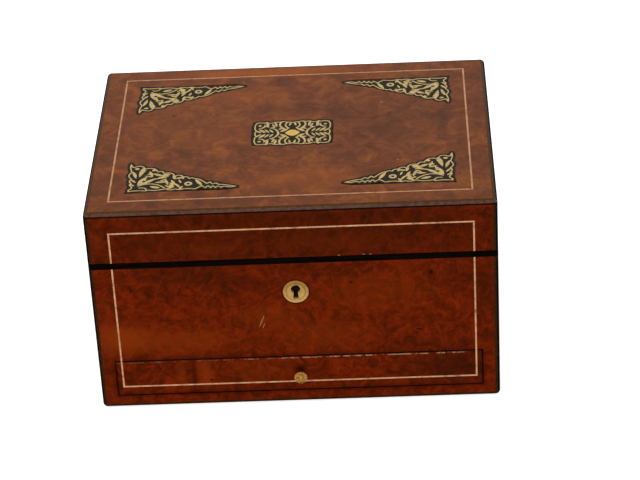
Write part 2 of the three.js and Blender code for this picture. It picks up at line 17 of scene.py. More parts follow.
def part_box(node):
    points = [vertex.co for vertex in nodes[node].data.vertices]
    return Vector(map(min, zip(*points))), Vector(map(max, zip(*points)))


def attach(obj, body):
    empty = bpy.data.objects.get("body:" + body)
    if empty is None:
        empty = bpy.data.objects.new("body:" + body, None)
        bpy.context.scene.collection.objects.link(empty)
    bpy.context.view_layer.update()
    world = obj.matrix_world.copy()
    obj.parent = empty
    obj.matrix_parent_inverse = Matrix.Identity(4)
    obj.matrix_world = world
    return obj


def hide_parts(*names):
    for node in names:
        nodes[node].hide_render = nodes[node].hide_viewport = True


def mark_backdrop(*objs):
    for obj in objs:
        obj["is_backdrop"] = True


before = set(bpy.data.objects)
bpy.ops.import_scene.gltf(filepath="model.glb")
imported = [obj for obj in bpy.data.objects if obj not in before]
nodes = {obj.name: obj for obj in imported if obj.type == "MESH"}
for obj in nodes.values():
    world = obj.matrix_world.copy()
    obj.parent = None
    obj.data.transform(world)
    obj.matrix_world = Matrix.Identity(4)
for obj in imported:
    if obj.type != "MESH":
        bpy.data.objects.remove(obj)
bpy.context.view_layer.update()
MM = 0.001

# %% [markdown]
# ## Camera
# The photograph looks down on the front from a little right of the middle, with a long lens and a slight
# lean. The angles and the focal length, in pixels of a 640 pixel wide image, were found by fitting the
# box's edges. An orbit camera is easiest to read: a target, a distance and three angles.

# %% Camera
IMAGE_WIDTH = 640
FOCAL_PIXELS = 2527.0
SENSOR = 36.0
VIEW_TARGET = Vector((16.34, 0.0, 74.15)) * MM
VIEW_DISTANCE = 1963.4 * MM
VIEW_AZIMUTH = math.radians(2.323)
VIEW_ELEVATION = math.radians(31.146)
VIEW_ROLL = math.radians(-3.214)


def orbit_axes(azimuth, elevation, roll):
    """Right, up and backward directions of a camera that circles a target."""
    backward = Vector((
        math.sin(azimuth) * math.cos(elevation),
        -math.cos(azimuth) * math.cos(elevation),
        math.sin(elevation),
    ))
    right = Vector((math.cos(azimuth), math.sin(azimuth), 0.0))
    up = backward.cross(right)
    lean = Matrix.Rotation(roll, 3, backward)
    return lean @ right, lean @ up, backward


right, up, backward = orbit_axes(VIEW_AZIMUTH, VIEW_ELEVATION, VIEW_ROLL)
lens = bpy.data.cameras.new("camera")
lens.sensor_width = SENSOR
lens.lens = FOCAL_PIXELS * SENSOR / IMAGE_WIDTH
lens.clip_start = 0.05
camera = bpy.data.objects.new("camera", lens)
camera.matrix_world = Matrix.Translation(VIEW_TARGET + backward * VIEW_DISTANCE) @ Matrix(
    (right, up, backward)
).transposed().to_4x4()
bpy.context.scene.collection.objects.link(camera)
bpy.context.scene.camera = camera
print(f"lens {lens.lens:.1f} mm")

# %% [markdown]
# ## Floor and light
# The box stands on a white sweep in soft, even light. A sky that is pale above and dark below does most
# of it: the polished top mirrors the pale part and looks hazy, while the front mirrors the dark part and
# keeps its deep red. The floor is left out of reflections for the same reason, as a black flag would do
# in a studio.

# %% Floor and light
FLOOR_SIZE = 6.0
FLOOR_WHITE = 0.92
FLOOR_GLOW = 0.7
SKY_LOW = 0.0
SKY_HORIZON = 0.45
SKY_ZENITH = 0.55


def make_floor():
    """A large pale sheet that lies just under the box."""
    mesh = bpy.data.meshes.new("floor")
    half = FLOOR_SIZE / 2
    corners = [(-half, -half, 0), (half, -half, 0), (half, half, 0), (-half, half, 0)]
    mesh.from_pydata(corners, [], [(0, 1, 2, 3)])
    floor = bpy.data.objects.new("floor", mesh)
    bpy.context.scene.collection.objects.link(floor)
    paper = bpy.data.materials.new("white_paper")
    paper.use_nodes = True
    shader = paper.node_tree.nodes["Principled BSDF"]
    shader.inputs["Base Color"].default_value = (FLOOR_WHITE, FLOOR_WHITE, FLOOR_WHITE, 1)
    shader.inputs["Roughness"].default_value = 0.9
    shader.inputs["Emission Color"].default_value = (1, 1, 1, 1)
    shader.inputs["Emission Strength"].default_value = FLOOR_GLOW
    mesh.materials.append(paper)
    floor.visible_glossy = False
    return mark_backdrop(floor)


def make_sky():
    """A sky in three greys: below, at the horizon and overhead."""
    world = bpy.data.worlds.new("studio")
    world.use_nodes = True
    tree = world.node_tree
    place = tree.nodes.new("ShaderNodeTexCoord")
    split = tree.nodes.new("ShaderNodeSeparateXYZ")
    ramp = tree.nodes.new("ShaderNodeValToRGB")
    level = tree.nodes.new("ShaderNodeMapRange")
    level.inputs["From Min"].default_value = -1
    tree.links.new(place.outputs["Generated"], split.inputs[0])
    tree.links.new(split.outputs["Z"], level.inputs["Value"])
    tree.links.new(level.outputs[0], ramp.inputs[0])
    tree.links.new(ramp.outputs[0], tree.nodes["Background"].inputs["Color"])
    stops = [(0.46, SKY_LOW), (0.54, SKY_HORIZON), (1.0, SKY_ZENITH)]
    ramp.color_ramp.elements.new(stops[1][0])
    for element, (position, grey) in zip(ramp.color_ramp.elements, stops):
        element.position = position
        element.color = (grey, grey, grey, 1)
    bpy.context.scene.world = world


def soft_box(name, place, size, watts):
    """A square soft light that faces the box, kept out of the polish's reflections."""
    light = bpy.data.lights.new(name, "AREA")
    light.size = size
    light.energy = watts
    lamp = bpy.data.objects.new(name, light)
    lamp.location = place
    aim = Vector((0, 0, 0.09)) - lamp.location
    lamp.rotation_euler = aim.to_track_quat("-Z", "Y").to_euler()
    lamp.visible_glossy = False
    bpy.context.scene.collection.objects.link(lamp)


make_floor()
make_sky()
soft_box("overhead", Vector((-0.3, 0.2, 2.0)), 1.8, 18)
soft_box("front", Vector((-0.7, -2.2, 1.1)), 1.6, 12)
bpy.context.scene.view_settings.view_transform = "Standard"
print("floor, sky and two soft lights")

# %% [markdown]
# ## A short hand for finishes
# Every finish here is a Principled shader fed by noise in the object's own space, so the grain stays put
# when the lid opens, and runs on from piece to piece. Wiring nodes one by one is long-winded, so a small
# class keeps the tree and offers the few moves that the finishes need. Its lengths are millimetres.

# %% Colours and the Finish class


def srgb(red, green, blue):
    """A colour as read off a screen, 0 to 255, in the linear values that shaders use."""
    shares = [value / 255 for value in (red, green, blue)]
    linear = [s / 12.92 if s <= 0.04045 else ((s + 0.055) / 1.055) ** 2.4 for s in shares]
    return (*linear, 1.0)


class Finish:
    """One procedural material. Its methods add nodes and return the socket to use next."""

    def __init__(self, name, **sockets):
        self.material = bpy.data.materials.new(name)
        self.material.use_nodes = True
        self.tree = self.material.node_tree
        self.shader = self.tree.nodes["Principled BSDF"]
        place = self.tree.nodes.new("ShaderNodeTexCoord").outputs["Object"]
        self.point = self.add("VectorMath", {0: place, "Scale": 1 / MM}, operation="SCALE")
        self.axes = self.tree.nodes.new("ShaderNodeSeparateXYZ").outputs
        self.tree.links.new(self.point, self.axes[0].node.inputs[0])
        self.set(**sockets)

    def feed(self, socket, value):
        if isinstance(value, bpy.types.NodeSocket):
            self.tree.links.new(value, socket)
        else:
            socket.default_value = value

    def add(self, kind, inputs, output=0, **settings):
        node = self.tree.nodes.new("ShaderNode" + kind)
        for key, value in settings.items():
            setattr(node, key, value)
        for key, value in inputs.items():
            self.feed(node.inputs[key], value)
        return node.outputs[output]

    def set(self, **sockets):
        """Sets the shader's own sockets: Base_Color stands for the socket Base Color."""
        for key, value in sockets.items():
            self.feed(self.shader.inputs[key.replace("_", " ")], value)

    def math(self, operation, first, second=0.0):
        return self.add("Math", {0: first, 1: second}, operation=operation)

    def noise(self, scale, detail=3.0, roughness=0.5, distortion=0.0, point=None, output=0):
        inputs = {
            "Vector": point or self.point,
            "Scale": scale,
            "Detail": detail,
            "Roughness": roughness,
            "Distortion": distortion,
        }
        return self.add("TexNoise", inputs, output)

    def stretched(self, x, y, z):
        """The same space with each axis squeezed or drawn out."""
        return self.add("VectorMath", {0: self.point, 1: (x, y, z)}, operation="MULTIPLY")

    def span(self, value, low, high, to_low=0.0, to_high=1.0):
        """Takes a value from one range to another, smoothly, and holds it at the ends."""
        inputs = {"Value": value, "From Min": low, "From Max": high, "To Min": to_low, "To Max": to_high}
        return self.add("MapRange", inputs, interpolation_type="SMOOTHSTEP")

    def ramp(self, value, stops):
        node = self.tree.nodes.new("ShaderNodeValToRGB")
        self.feed(node.inputs[0], value)
        for _ in stops[2:]:
            node.color_ramp.elements.new(0.5)
        for element, (position, colour) in zip(node.color_ramp.elements, stops):
            element.position = position
            element.color = colour
        return node.outputs[0]

    def mix(self, share, first, second):
        return self.add("Mix", {0: share, 6: first, 7: second}, 2, data_type="RGBA")

    def spot(self, centre, radii, turn=(0, 0, 0), core=0.4):
        """1 inside an ellipsoid, falling to 0 at its surface."""
        inputs = {"Vector": self.point, "Location": centre, "Rotation": turn, "Scale": radii}
        local = self.add("Mapping", inputs, vector_type="TEXTURE")
        reach = self.add("VectorMath", {0: local}, 1, operation="LENGTH")
        return self.span(reach, core, 1.0, 1.0, 0.0)

    def bump(self, height, depth, strength=1.0):
        normal = self.add("Bump", {"Height": height, "Distance": depth * MM, "Strength": strength})
        self.set(Normal=normal)


def dress(finish, *names):
    """Puts a finish on frame nodes."""
    for name in names:
        slots = nodes[name].data.materials
        slots.clear()
        slots.append(finish.material)


print("finish tools ready")

# %% [markdown]
# ## Burr veneer
# The outside is burr veneer under old polish: mottled red-brown, with dark clouds, small curls and
# clusters of smudges. One image could do it, but noise can be cut by any face. The figure is a stack: a
# warped mottle of about a centimetre, thin lines where a second noise crosses its middle for the curls,
# and small smudges that gather in clusters for the pips. Only the outer skin of a board is veneer, so the
# same finish shows plain wood on the board's inside.

# %% Burr veneer
SKIN = 1.0
FRONT_TONES = [srgb(60, 17, 2), srgb(91, 24, 2), srgb(114, 33, 3)]
TOP_TONES = [srgb(84, 40, 11), srgb(113, 55, 16), srgb(143, 76, 22)]
SMUDGE_TONE = srgb(38, 17, 4)
INNER_TONES = [(0.3, srgb(88, 48, 26)), (0.7, srgb(126, 74, 42))]
half_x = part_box("lid_edge_right")[1].x / MM
half_y = -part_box("lid_edge_front")[0].y / MM
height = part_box("lid_top")[1].z / MM


def burr(finish, tones, smudges=0.5, threads=0.1, size=7.0, roughness=0.68):
    """The colour of burr veneer, and its fine grain for the bump. Size is that of the mottle, in mm."""
    drift = finish.noise(0.04, 2, output=1)
    drift = finish.add("VectorMath", {0: drift, 1: (0.5, 0.5, 0.5)}, operation="SUBTRACT")
    drift = finish.add("VectorMath", {0: drift, "Scale": 25.0}, operation="SCALE")
    swirled = finish.add("VectorMath", {0: finish.point, 1: drift}, operation="ADD")
    mottle = finish.noise(1 / size, 6, roughness, 0.5, swirled)
    colour = finish.ramp(finish.span(mottle, 0.25, 0.75), list(zip((0.0, 0.5, 1.0), tones)))
    curl = finish.noise(0.08, 3, 0.6, 1.5, swirled)
    thread = finish.span(finish.math("ABSOLUTE", finish.math("SUBTRACT", curl, 0.5)), 0.0, 0.025, 1.0, 0.0)
    colour = finish.mix(finish.math("MULTIPLY", thread, threads), colour, tones[2])
    blots = finish.span(finish.noise(0.3, 4, 0.6, 0.3), 0.5, 0.7)
    clusters = finish.span(finish.noise(0.045, 2), 0.42, 0.62)
    blots = finish.math("MULTIPLY", blots, clusters)
    colour = finish.mix(finish.math("MULTIPLY", blots, smudges), colour, SMUDGE_TONE)
    return colour, finish.noise(1.2, 3, 0.6)


def plain_wood(finish, x=0.012, y=0.3, z=0.3):
    """Straight-grained wood, drawn out along the axis with the smallest number."""
    grain = finish.noise(1.0, 5, 0.6, 0.3, finish.stretched(x, y, z))
    return finish.ramp(grain, INNER_TONES), grain


def veneered(name, polish, **figure):
    """A burr finish with more or less polish left on it. Returns the finish and the burr's colour."""
    finish = Finish(name, Roughness=0.24, Specular_IOR_Level=polish)
    colour, grain = burr(finish, **figure)
    finish.bump(grain, 0.05, 0.25)
    return finish, colour


def skin_over_wood(finish, colour):
    """Shows the veneer on the outer millimetre of the box and plain wood deeper in."""
    depth = finish.math("SUBTRACT", finish.math("ABSOLUTE", finish.axes[0]), half_x - SKIN)
    side = finish.math("SUBTRACT", finish.math("ABSOLUTE", finish.axes[1]), half_y - SKIN)
    top = finish.math("SUBTRACT", finish.axes[2], height - SKIN)
    outer = finish.math("MAXIMUM", finish.math("MAXIMUM", depth, side), top)
    wood, _ = plain_wood(finish)
    finish.set(Base_Color=finish.mix(finish.math("GREATER_THAN", outer, 0.0), wood, colour))
    return finish


print("burr veneer ready")

# %% [markdown]
# ## Veneer by face
# Each face was laid with its own leaf of veneer. The lid's front is the darkest and fullest of pips, the
# case front has burr at its upper left and runs out to plainer, curlier wood, and the top is even and
# soft. Tints are soft ellipses in the face's own plane, given as x, z, half width, half height and
# share.

# %% Veneer on the fronts
GLOW_TONE = srgb(124, 46, 5)
SHADE_TONE = srgb(42, 16, 3)
FRONT_POLISH = 0.015


def front_spot(finish, x, z, wide, high, lean=0.0, core=0.1):
    return finish.spot((x, -half_y, z), (wide, 60, high), (0, math.radians(lean), 0), core)


def tinted(finish, colour, masks, tone):
    """Lays one tone over a colour through masks, each with its share."""
    for mask, share in masks:
        colour = finish.mix(finish.math("MULTIPLY", mask, share), colour, tone)
    return colour


def front_board(name, glows, shades, **figure):
    finish, colour = veneered(name, FRONT_POLISH, tones=FRONT_TONES, **figure)
    for places, tone in ((glows, GLOW_TONE), (shades, SHADE_TONE)):
        masks = [(front_spot(finish, *place), share) for *place, share in places]
        colour = tinted(finish, colour, masks, tone)
    return finish, colour


case_front, case_colour = front_board(
    "case_front_veneer",
    glows=[
        (-130, 62, 34, 20, 0.7), (-85, 58, 60, 18, 0.45), (-141, 92, 8, 18, 0.15), (60, 96, 70, 26, 0.25),
        (20, 60, 60, 20, 0.3), (-20, 78, 40, 16, 0.3),
    ],
    shades=[
        (-80, 116, 70, 14, 0.45), (-40, 106, 40, 12, 0.35), (140, 92, 12, 50, 0.45),
        (120, 108, 30, 14, 0.35), (30, 116, 50, 10, 0.3), (90, 50, 50, 12, 0.25),
    ],
    smudges=0.6,
)
lid_front, lid_colour = front_board(
    "lid_front_veneer",
    glows=[(-60, 138, 40, 8, 0.3), (30, 140, 60, 10, 0.25), (-142, 148, 8, 14, 0.3)],
    shades=[
        (0, 147, 300, 60, 0.45), (0, 162, 160, 6, 0.3), (100, 150, 50, 12, 0.3), (-110, 142, 30, 10, 0.3),
    ],
    smudges=0.95,
)
drawer_front, drawer_colour = front_board(
    "drawer_front_veneer",
    glows=[(-70, 28, 8, 18, 0.6), (-88, 26, 6, 18, 0.4), (-30, 30, 40, 14, 0.2)],
    # The spot at x 1, z 30.5 is the knob's shadow and reflection, painted into the veneer's colour.
    shades=[(115, 28, 60, 24, 0.6), (-79, 28, 3, 20, 0.6), (1, 30.5, 7, 5.5, 0.9), (-120, 24, 20, 14, 0.2)],
    smudges=0.4,
)
print("three front boards drawn")

# %% [markdown]
# ## Painted gap shade and wear on the front
# Painted shade darkens the gap round the drawer and spreads softly onto both boards beside it. Long use
# has rubbed the drawer's top edge pale and left a scratch and a few dark spots. The gap is the distance
# to the drawer's rectangle, so both boards beside it can use it. Marks are x, z, half width, half height
# and lean in degrees.

# %% Painted gap shade and wear
GAP_SHADE_TONE = srgb(20, 7, 3)
BARE_TONE = srgb(186, 138, 96)
SPOT_TONE = srgb(24, 9, 4)
drawer_low, drawer_high = (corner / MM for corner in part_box("drawer_front"))
DARK_SPOTS = [
    (100.5, 111.5, 2.2, 2.6, 20), (91, 62, 3.4, 0.9, 10), (98, 42.9, 2.0, 0.9, 0), (42, 105, 1.6, 1.2, 0),
    (-66, 22.5, 2.0, 1.3, 0), (-120, 104, 1.2, 1.0, 0), (134, 72, 1.4, 1.0, 0),
]
SCRATCHES = [(-25.5, 73.5, 0.42, 6.8, 22), (-24.2, 69.5, 0.34, 3.0, 22)]
CHIPS = [(57, 128.5, 0.9, 0.5, 0), (34, 128.3, 1.1, 0.8, 0), (52, 128.6, 1.3, 0.4, 0)]


def drawer_gap(finish):
    """Distance out of the drawer front's rectangle, in the plane of the front."""
    wide = finish.math("SUBTRACT", finish.math("ABSOLUTE", finish.axes[0]), drawer_high.x)
    middle = (drawer_low.z + drawer_high.z) / 2
    tall = finish.math("ABSOLUTE", finish.math("SUBTRACT", finish.axes[2], middle))
    tall = finish.math("SUBTRACT", tall, (drawer_high.z - drawer_low.z) / 2)
    return finish.math("MAXIMUM", wide, tall)


def marked(finish, colour, marks, tone, share):
    return tinted(finish, colour, [(front_spot(finish, *mark, 0.5), share) for mark in marks], tone)


def gap_shaded_and_aged(finish, colour):
    """Adds painted shade round the drawer's gap, the dark spots and the scratches."""
    # Painted shade: a dark line along the drawer's gap, and a softer halo out to 4 mm on both boards.
    near = finish.span(finish.math("ABSOLUTE", drawer_gap(finish)), 0.3, 0.85, 1.0, 0.0)
    soft = finish.span(finish.math("ABSOLUTE", drawer_gap(finish)), 0.5, 4.0, 0.35, 0.0)
    colour = tinted(finish, colour, [(soft, 1.0), (near, 0.85)], GAP_SHADE_TONE)
    colour = marked(finish, colour, DARK_SPOTS, SPOT_TONE, 0.75)
    return marked(finish, colour, SCRATCHES, BARE_TONE, 0.55)


def worn_line(finish, colour):
    """The rubbed top edge of the drawer front: broken, and stronger to the right."""
    level = finish.math("ABSOLUTE", finish.math("SUBTRACT", finish.axes[2], drawer_high.z - 1.5))
    line = finish.span(level, 0.35, 0.75, 1.0, 0.0)
    breaks = finish.span(finish.noise(0.16, 5, 0.75), 0.44, 0.6)
    reach = finish.span(finish.axes[0], -110.0, 60.0, 0.25, 1.0)
    reach = finish.math("MULTIPLY", reach, finish.span(finish.axes[0], 122.0, 132.0, 1.0, 0.0))
    mask = finish.math("MULTIPLY", finish.math("MULTIPLY", line, breaks), reach)
    return tinted(finish, colour, [(mask, 0.6)], BARE_TONE)


plate_middle = sum(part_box("escutcheon"), Vector()) / 2 / MM
plate_reach = (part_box("escutcheon")[1].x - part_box("escutcheon")[0].x) / 2 / MM
# Painted shade: a dark ring round the keyhole plate's edge, where it stands off the front.
plate_shade_reach = plate_reach + 1.6
plate_shade_ring = front_spot(case_front, plate_middle.x, plate_middle.z, plate_shade_reach, plate_shade_reach, core=0.88)
case_colour = tinted(case_front, gap_shaded_and_aged(case_front, case_colour), [(plate_shade_ring, 0.85)], GAP_SHADE_TONE)
dress(skin_over_wood(case_front, case_colour), "case_front")
drawer_colour = worn_line(drawer_front, gap_shaded_and_aged(drawer_front, drawer_colour))
dress(skin_over_wood(drawer_front, drawer_colour), "drawer_front")
lid_colour = marked(lid_front, lid_colour, CHIPS, BARE_TONE, 0.45)
dress(skin_over_wood(lid_front, lid_colour), "lid_front")
print(len(DARK_SPOTS), "spots,", len(SCRATCHES), "scratches")

# %% [markdown]
# ## Top, sides and back
# The top is coloured browner and paler than the front, with a golden strip along the back. A coarser
# mottle without curls gives its soft figure. The sides and back are not in the photograph, so they are
# the plain burr without tints or marks.

# %% Veneer on the top, sides and back
TOP_GLOW_TONE = srgb(160, 80, 20)
TOP_SHADE_TONE = srgb(72, 34, 12)
TOP_GLOWS = [
    (-20, 101, 120, 12, 0.7), (-100, 50, 50, 60, 0.15), (-40, 60, 60, 24, 0.3), (10, -70, 70, 26, 0.35),
    (-110, -20, 24, 60, 0.12), (-60, 0, 50, 30, 0.2),
]
TOP_SHADES = [
    (70, 10, 60, 60, 0.3), (0, 36, 70, 16, 0.35), (120, 40, 30, 60, 0.3), (40, -30, 70, 14, 0.25),
    (-60, -100, 90, 10, 0.25), (-70, -45, 40, 14, 0.2), (-92, 33.5, 3, 3, 0.8),
]
TOP_POLISH = 0.19
TOP_SPECKS = [(68, 44, 1.6, 1.2, 0.8), (79, -47, 1.2, 0.9, 0.8)]


def top_masks(finish, places):
    """Soft ellipses in the plane of the top: x, y, half width, half depth and share."""
    masks = []
    for x, y, wide, deep, share in places:
        masks.append((finish.spot((x, y, height), (wide, deep, 60), core=0.1), share))
    return masks


top_veneer, top_colour = veneered(
    "lid_top_veneer", TOP_POLISH, tones=TOP_TONES, smudges=0.35, threads=0.0, size=15.0, roughness=0.7
)
top_colour = tinted(top_veneer, top_colour, top_masks(top_veneer, TOP_GLOWS), TOP_GLOW_TONE)
top_colour = tinted(top_veneer, top_colour, top_masks(top_veneer, TOP_SHADES), TOP_SHADE_TONE)
top_colour = tinted(top_veneer, top_colour, top_masks(top_veneer, TOP_SPECKS), BARE_TONE)
dress(skin_over_wood(top_veneer, top_colour), "lid_top")
side_veneer, side_colour = veneered("side_veneer", 0.15, tones=FRONT_TONES, smudges=0.5)
sides = [f"{part}_{side}" for part in ("case", "lid") for side in ("left", "right", "back")]
dress(skin_over_wood(side_veneer, side_colour), *sides)
print("top and", len(sides), "side boards dressed")

# %% [markdown]
# ## Plain woods
# The bottom, the shelf and the drawer's sides were never meant to be seen. They are straight-grained wood
# with a thin wax, so a single stretched noise is enough, drawn out along the length of each board.

# %% Plain woods
BOARD_GRAIN = {
    "along_x": (0.012, 0.3, 0.3),
    "along_y": (0.3, 0.012, 0.3),
}


def plain_finish(name, grain_axes):
    finish = Finish(name, Roughness=0.55, Specular_IOR_Level=0.3)
    colour, grain = plain_wood(finish, *grain_axes)
    finish.set(Base_Color=colour)
    finish.bump(grain, 0.1, 0.3)
    return finish


long_wood = plain_finish("plain_wood_long", BOARD_GRAIN["along_x"])
deep_wood = plain_finish("plain_wood_deep", BOARD_GRAIN["along_y"])
dress(long_wood, "case_bottom", "drawer_shelf", "drawer_back", "drawer_bottom")
dress(deep_wood, "drawer_left", "drawer_right")
print("six plain boards dressed")

# %% [markdown]
# ## Ebony rim and boxwood stringing
# The black band under the lid is a strip of ebony, close-grained and almost without figure. The pale
# lines are thin boxwood, a little yellowed, with dirt in places. Both are long strips, so their noise is
# stretched along x.

# %% Ebony and boxwood
ebony = Finish("ebony", Roughness=0.3, Specular_IOR_Level=0.03)
ebony_grain = ebony.noise(1.0, 4, 0.6, 0.2, ebony.stretched(0.05, 0.8, 0.8))
ebony.set(Base_Color=ebony.ramp(ebony_grain, [(0.3, srgb(5, 3, 2)), (0.8, srgb(16, 11, 8))]))
dress(ebony, "rim_front", "rim_back", "rim_left", "rim_right")

boxwood = Finish("boxwood", Roughness=0.4, Specular_IOR_Level=0.4)
dirt = boxwood.noise(0.2, 4, 0.65)
pale = [(0.3, srgb(140, 90, 54)), (0.46, srgb(188, 136, 94)), (0.72, srgb(212, 164, 118))]
boxwood.set(Base_Color=boxwood.ramp(dirt, pale))
strings = [name for name in nodes if name.startswith("string_")]
dress(boxwood, *strings)
print("rim and", len(strings), "strings dressed")

# %% [markdown]
# ## Rounded edging
# Dark strips guard every outer edge, and their arris is rounded over. The frame's strips have only a few
# facets, so smooth ones are made here: one block with all its edges bevelled is the outer form, and each
# strip is what that block has in common with a mitred prism. A Boolean modifier finds that, and the strip
# replaces its node.

# %% Boolean and prism tools
WELD = 0.01


def new_piece(name, mesh):
    piece = bpy.data.objects.new(name, mesh)
    bpy.context.scene.collection.objects.link(piece)
    return piece


def prism(name, outline, low, high, upright=True):
    """A solid with a flat outline: in x and y from low to high z, or else in x and z from low to high y."""
    shape = bmesh.new()
    rings = []
    for level in (low, high):
        ring = [(a, b, level) if upright else (a, level, b) for a, b in outline]
        rings.append([shape.verts.new(Vector(co) * MM) for co in ring])
    shape.faces.new(rings[0])
    shape.faces.new(rings[1])
    for i in range(len(outline)):
        k = (i + 1) % len(outline)
        shape.faces.new((rings[0][i], rings[0][k], rings[1][k], rings[1][i]))
    bmesh.ops.recalc_face_normals(shape, faces=shape.faces)
    mesh = bpy.data.meshes.new(name)
    shape.to_mesh(mesh)
    shape.free()
    return new_piece(name, mesh)


def combined(name, first, second, operation):
    """The Boolean result of two solids as a new piece. The second solid is used up."""
    modifier = first.modifiers.new("boolean", "BOOLEAN")
    modifier.operation = operation
    modifier.solver = "MANIFOLD"
    modifier.object = second
    view = bpy.context.evaluated_depsgraph_get()
    mesh = bpy.data.meshes.new_from_object(first.evaluated_get(view))
    first.modifiers.remove(modifier)
    bpy.data.objects.remove(second)
    mesh.name = name
    shape = bmesh.new()
    shape.from_mesh(mesh)
    bmesh.ops.remove_doubles(shape, verts=shape.verts, dist=WELD * MM)
    bmesh.ops.dissolve_degenerate(shape, edges=shape.edges, dist=WELD * MM)
    shape.to_mesh(mesh)
    shape.free()
    return new_piece(name, mesh)


def smooth(piece, angle=30):
    piece.data.shade_smooth()
    piece.data.set_sharp_from_angle(angle=math.radians(angle))


def settle(piece, body, slot, finish, *replaced):
    """Gives a new piece its finish and its body, and hides the nodes that it stands for. The slot is not
    used.
    """
    piece.data.materials.clear()
    piece.data.materials.append(finish.material)
    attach(piece, body)
    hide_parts(*replaced)
    return piece


print("solid tools ready")

# %% [markdown]
# ## Finish of the edging
# On the lid's front the strip reads as three bands: brown on top, a painted greyish highlight on the
# rounded arris, and black below. The depth under the top, as a share of the strip's width, says which
# band a point is in. The upright strips are black at the arris and dull brown beside the veneer.

# %% Edging finish
EDGE_STEPS = 8
BROWN_DEPTH = 0.18
SHEEN_DEPTH = 0.66
ARRIS_BLACK = 1.7
veneer_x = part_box("lid_top")[1].x / MM
veneer_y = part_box("lid_top")[1].y / MM
edge = half_x - veneer_x


def rounded_block():
    """The outer form of the whole box."""
    shape = bmesh.new()
    bmesh.ops.create_cube(shape, size=1.0)
    bmesh.ops.scale(shape, vec=(2 * half_x * MM, 2 * half_y * MM, height * MM), verts=shape.verts)
    bmesh.ops.translate(shape, vec=(0, 0, height / 2 * MM), verts=shape.verts)
    bmesh.ops.bevel(
        shape, geom=shape.edges, offset=edge * MM, segments=EDGE_STEPS, profile=0.5, affect="EDGES"
    )
    mesh = bpy.data.meshes.new("outer_form")
    shape.to_mesh(mesh)
    shape.free()
    return new_piece("outer_form", mesh)


edging = Finish("dark_edging", Roughness=0.25, Specular_IOR_Level=0.12)
streaks = edging.noise(0.4, 4, 0.6)
brown = edging.ramp(streaks, [(0.3, srgb(62, 36, 6)), (0.7, srgb(90, 56, 14))])
sheen = edging.ramp(streaks, [(0.3, srgb(70, 44, 36)), (0.7, srgb(104, 70, 60))])
black = edging.ramp(streaks, [(0.3, srgb(8, 5, 4)), (0.7, srgb(20, 13, 9))])
inset_x = edging.math("SUBTRACT", half_x, edging.math("ABSOLUTE", edging.axes[0]))
inset_y = edging.math("SUBTRACT", half_y, edging.math("ABSOLUTE", edging.axes[1]))
inner = edging.span(edging.math("MAXIMUM", inset_x, inset_y), ARRIS_BLACK - 0.3, ARRIS_BLACK + 0.3)
depth = edging.math("DIVIDE", edging.math("SUBTRACT", height, edging.axes[2]), edge)
under_top = edging.span(depth, BROWN_DEPTH - 0.05, BROWN_DEPTH + 0.05, 1.0, 0.0)
on_round = edging.span(depth, SHEEN_DEPTH - 0.06, SHEEN_DEPTH + 0.06, 1.0, 0.0)
in_front = edging.math("LESS_THAN", edging.axes[1], -veneer_y)
below_lid_edge = edging.span(edging.axes[2], height - edge - 0.4, height - edge, 1.0, 0.0)
above_foot = edging.span(edging.axes[2], 0.8, 1.4)
upright = edging.math("MULTIPLY", edging.math("MULTIPLY", below_lid_edge, above_foot), inner)
dull_brown = edging.mix(0.65, brown, black)
edge_colour = edging.mix(upright, black, dull_brown)
# Painted highlight: the greyish band on the front strip's rounded arris.
edge_colour = edging.mix(edging.math("MULTIPLY", on_round, in_front), edge_colour, sheen)
edging.set(Base_Color=edging.mix(under_top, edge_colour, brown))
edging.bump(streaks, 0.05, 0.2)

print("edging finish ready")

# %% [markdown]
# ## Edging strips
# The strips meet in mitres, so each one's plan is a quadrilateral with slanted ends, or a square for the
# uprights. One plan serves opposite strips by flipping its signs.

# %% Edging strips
long_plan = [(-half_x, -half_y), (half_x, -half_y), (veneer_x, -veneer_y), (-veneer_x, -veneer_y)]
short_plan = [(half_x, -half_y), (half_x, half_y), (veneer_x, veneer_y), (veneer_x, -veneer_y)]
corner_plan = [(veneer_x, -half_y), (half_x, -half_y), (half_x, -veneer_y), (veneer_x, -veneer_y)]
PLANS = {
    "front": (long_plan, 1, 1),
    "back": (long_plan, 1, -1),
    "left": (short_plan, -1, 1),
    "right": (short_plan, 1, 1),
    "front_left": (corner_plan, -1, 1),
    "front_right": (corner_plan, 1, 1),
    "back_left": (corner_plan, -1, -1),
    "back_right": (corner_plan, 1, -1),
}
STRIP_BODIES = {"base_edge": "case", "case_corner": "case", "lid_edge": "lid", "lid_corner": "lid"}

outer_form = rounded_block()
strips = []
for prefix, body in STRIP_BODIES.items():
    for place, (plan, flip_x, flip_y) in PLANS.items():
        node = f"{prefix}_{place}"
        if node not in nodes:
            continue
        low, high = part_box(node)
        outline = [(x * flip_x, y * flip_y) for x, y in plan]
        stick = prism("stick", outline, low.z / MM, high.z / MM)
        strip = combined(f"{node}_strip", outer_form, stick, "INTERSECT")
        smooth(strip)
        strips.append(settle(strip, body, "dark_edging", edging, node))
bpy.data.objects.remove(outer_form)
print(len(strips), "strips of edging")

# %% [markdown]
# ## Sawn brass: drawing it as fields
# The inlay is sheet brass, sawn out in leaves and scrolls and let into black mastic. A field is a number
# for each point of a fine grid, below zero inside a shape. Fields join and cut by taking the smaller or
# larger number, and a little blur rounds every saw cut. The line where the result is zero is then traced.

# %% Fields for the motifs
GRID = 0.2
CURVE_STEPS = 60


def turned(u, v, angle):
    """Reads points along and across a direction that starts at (u, v)."""
    c, s = math.cos(math.radians(angle)), math.sin(math.radians(angle))
    return lambda U, V: ((U - u) * c + (V - v) * s, (V - v) * c - (U - u) * s)


